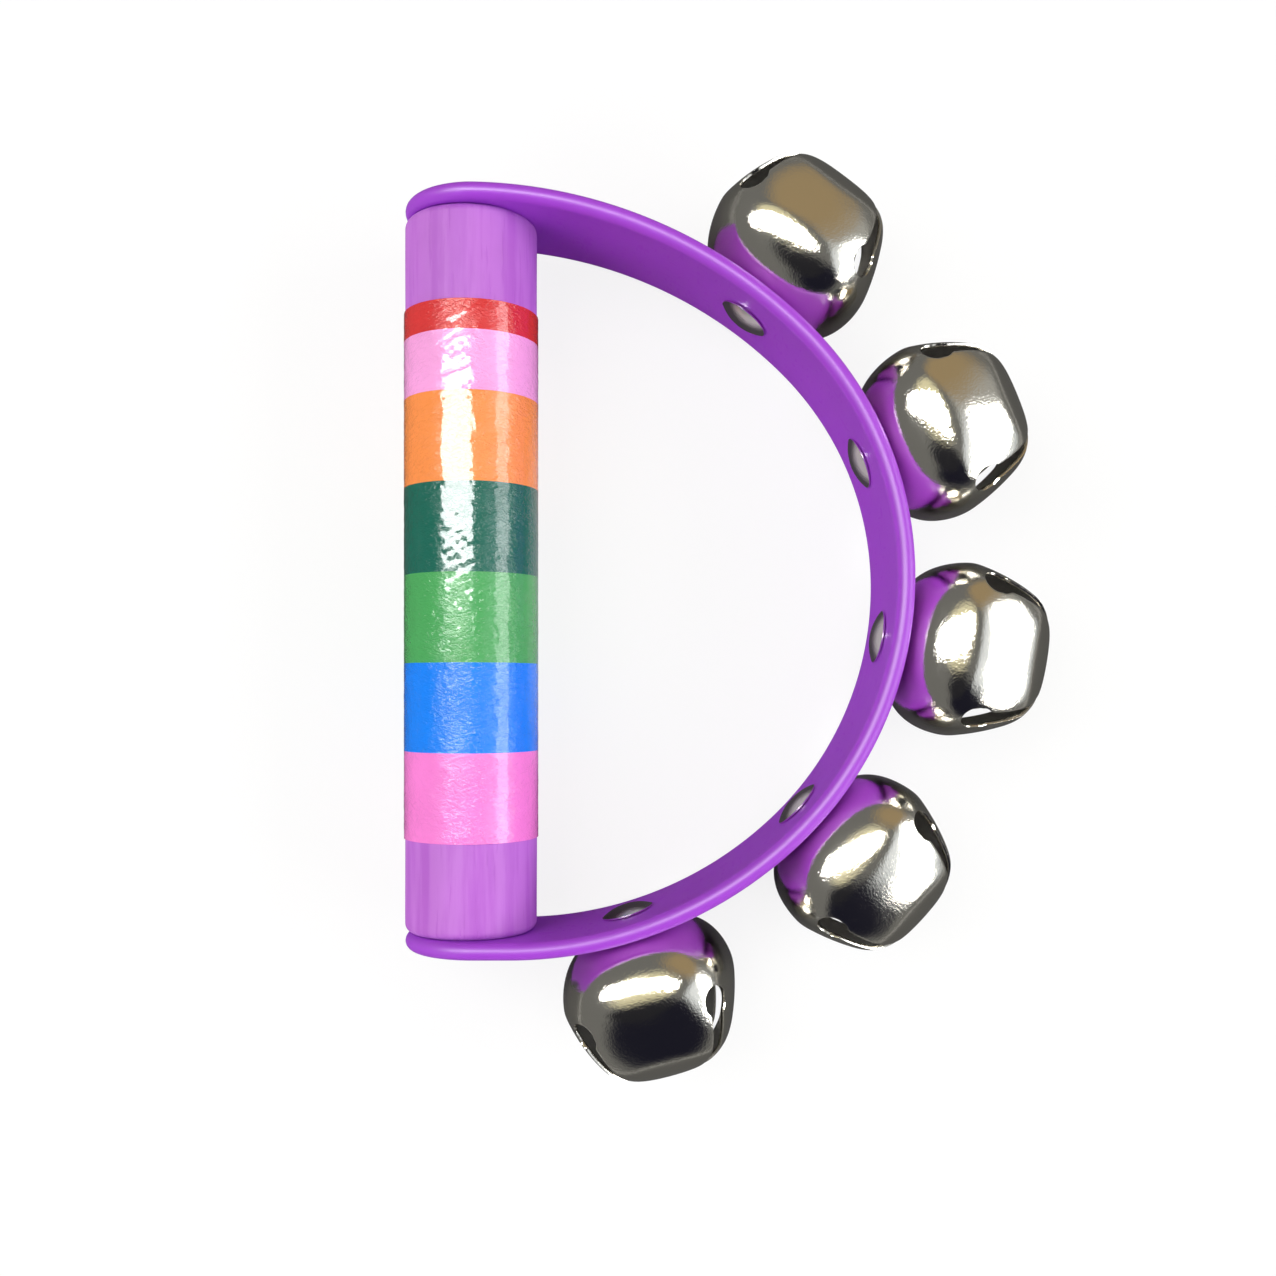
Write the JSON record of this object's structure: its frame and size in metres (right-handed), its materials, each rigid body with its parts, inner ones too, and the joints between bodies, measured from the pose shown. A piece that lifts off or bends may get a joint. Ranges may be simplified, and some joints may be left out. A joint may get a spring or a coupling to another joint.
{
  "type": "sleigh bells",
  "caption": "Hand-held jingle bells: a round wooden handle with coloured bands, a plastic strap bent into a bow, and pressed metal bells riveted round its outside.",
  "frame": {"origin": "middle of the handle, on its axis", "axes": "+Y along the handle to its top end, +X across the grip to the bells, +Z along the strap's width; the object lies flat"},
  "size_m": [0.0987, 0.1402, 0.028],
  "materials": {
    "stained_wood": "purple stain, matte, fine grain",
    "film_red": "high gloss film with a slightly wrinkled surface",
    "film_rose": "high gloss film with a slightly wrinkled surface",
    "film_orange": "high gloss film with a slightly wrinkled surface",
    "film_teal": "high gloss film with a slightly wrinkled surface",
    "film_green": "high gloss film with a slightly wrinkled surface",
    "film_blue": "high gloss film with a slightly wrinkled surface",
    "film_pink": "high gloss film with a slightly wrinkled surface",
    "strap_plastic": "soft satin",
    "screw_steel": "zinc plated",
    "rivet_nickel": "bright nickel plate",
    "bell_nickel": "bright nickel plate over pressed steel",
    "ball_steel": "tumbled bare steel"
  },
  "bodies": {
    "bow": {"handle": "stained_wood", "band_red": "film_red", "band_rose": "film_rose", "band_orange": "film_orange", "band_teal": "film_teal", "band_green": "film_green", "band_blue": "film_blue", "band_pink": "film_pink", "strap": "strap_plastic", "screw_top": "screw_steel", "screw_bottom": "screw_steel", "rivet_1": "rivet_nickel", "rivet_2": "rivet_nickel", "rivet_3": "rivet_nickel", "rivet_4": "rivet_nickel", "rivet_5": "rivet_nickel"},
    "bell_1": {"shell_1": "bell_nickel"},
    "ball_1": {"pellet_1": "ball_steel"},
    "bell_2": {"shell_2": "bell_nickel"},
    "ball_2": {"pellet_2": "ball_steel"},
    "bell_3": {"shell_3": "bell_nickel"},
    "ball_3": {"pellet_3": "ball_steel"},
    "bell_4": {"shell_4": "bell_nickel"},
    "ball_4": {"pellet_4": "ball_steel"},
    "bell_5": {"shell_5": "bell_nickel"},
    "ball_5": {"pellet_5": "ball_steel"}
  },
  "joints": [
    {"name": "bell_1_swivel", "type": "hinge", "parent": "bow", "child": "bell_1", "pos_m": [0.04369, 0.04223, 0], "axis": [0.6046, 0.7965, 0], "continuous": true},
    {"name": "ball_1_rattle", "type": "slide", "parent": "bell_1", "child": "ball_1", "axis": [0, 0, 1], "range_m": [0, 0.018]},
    {"name": "bell_2_swivel", "type": "hinge", "parent": "bow", "child": "bell_2", "pos_m": [0.06243, 0.01868, 0], "axis": [0.9265, 0.3762, 0], "continuous": true},
    {"name": "ball_2_rattle", "type": "slide", "parent": "bell_2", "child": "ball_2", "axis": [0, 0, 1], "range_m": [0, 0.018]},
    {"name": "bell_3_swivel", "type": "hinge", "parent": "bow", "child": "bell_3", "pos_m": [0.06549, -0.00966, 0], "axis": [0.9863, -0.165, 0], "continuous": true},
    {"name": "ball_3_rattle", "type": "slide", "parent": "bell_3", "child": "ball_3", "axis": [0, 0, 1], "range_m": [0, 0.018]},
    {"name": "bell_4_swivel", "type": "hinge", "parent": "bow", "child": "bell_4", "pos_m": [0.05233, -0.03688, 0], "axis": [0.742, -0.6704, 0], "continuous": true},
    {"name": "ball_4_rattle", "type": "slide", "parent": "bell_4", "child": "ball_4", "axis": [0, 0, 1], "range_m": [0, 0.018]},
    {"name": "bell_5_swivel", "type": "hinge", "parent": "bow", "child": "bell_5", "pos_m": [0.0249, -0.05421, 0], "axis": [0.2924, -0.9563, 0], "continuous": true},
    {"name": "ball_5_rattle", "type": "slide", "parent": "bell_5", "child": "ball_5", "axis": [0, 0, 1], "range_m": [0, 0.018]}
  ]
}
